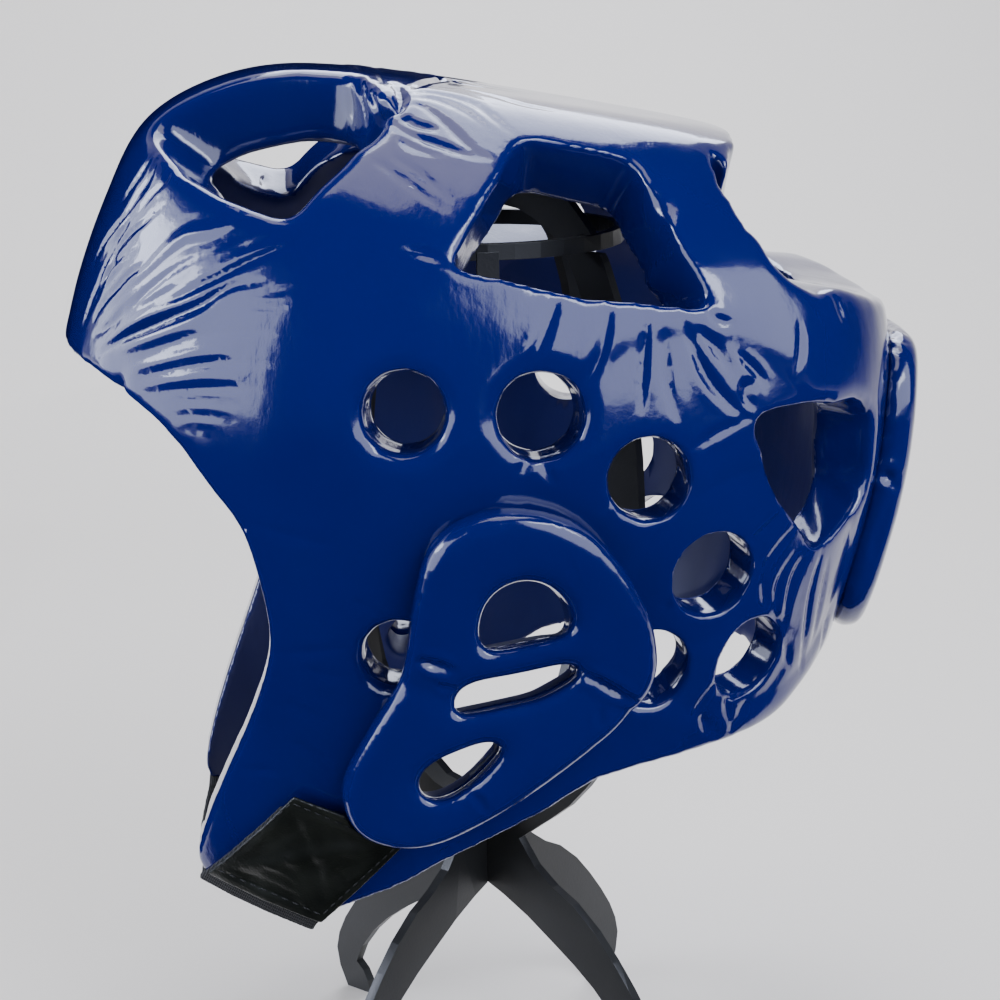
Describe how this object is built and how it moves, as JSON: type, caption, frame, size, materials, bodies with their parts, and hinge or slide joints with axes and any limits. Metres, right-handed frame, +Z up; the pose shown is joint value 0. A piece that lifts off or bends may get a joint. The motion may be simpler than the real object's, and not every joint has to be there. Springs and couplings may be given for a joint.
{
  "type": "taekwondo headgear on a display stand",
  "caption": "Vinyl-dipped foam sparring headgear with ear pads, open windows, vents and a chin strap, held up by a plain plug-together display stand.",
  "frame": {"origin": "on the surface that the stand rests on, under the middle of the whole object's box", "axes": "+Z up, -Y the way the wearer faces, +X to the wearer's left"},
  "size_m": [0.2234, 0.2614, 0.3221],
  "materials": {
    "vinyl": "glossy dipped vinyl skin over foam, with fine wrinkles",
    "elastic": "ribbed woven elastic",
    "strap_leather": "synthetic leather with a stitched border",
    "stand_plastic": "satin moulded plastic"
  },
  "bodies": {
    "root": {"foam_shell": "vinyl", "ear_pad_left": "vinyl", "ear_pad_right": "vinyl", "nape_pad": "vinyl", "chin_strap": "elastic", "strap_tab": "strap_leather", "stand_plate_lower": "stand_plastic", "stand_plate_upper": "stand_plastic", "stand_ring": "stand_plastic"}
  },
  "joints": []
}
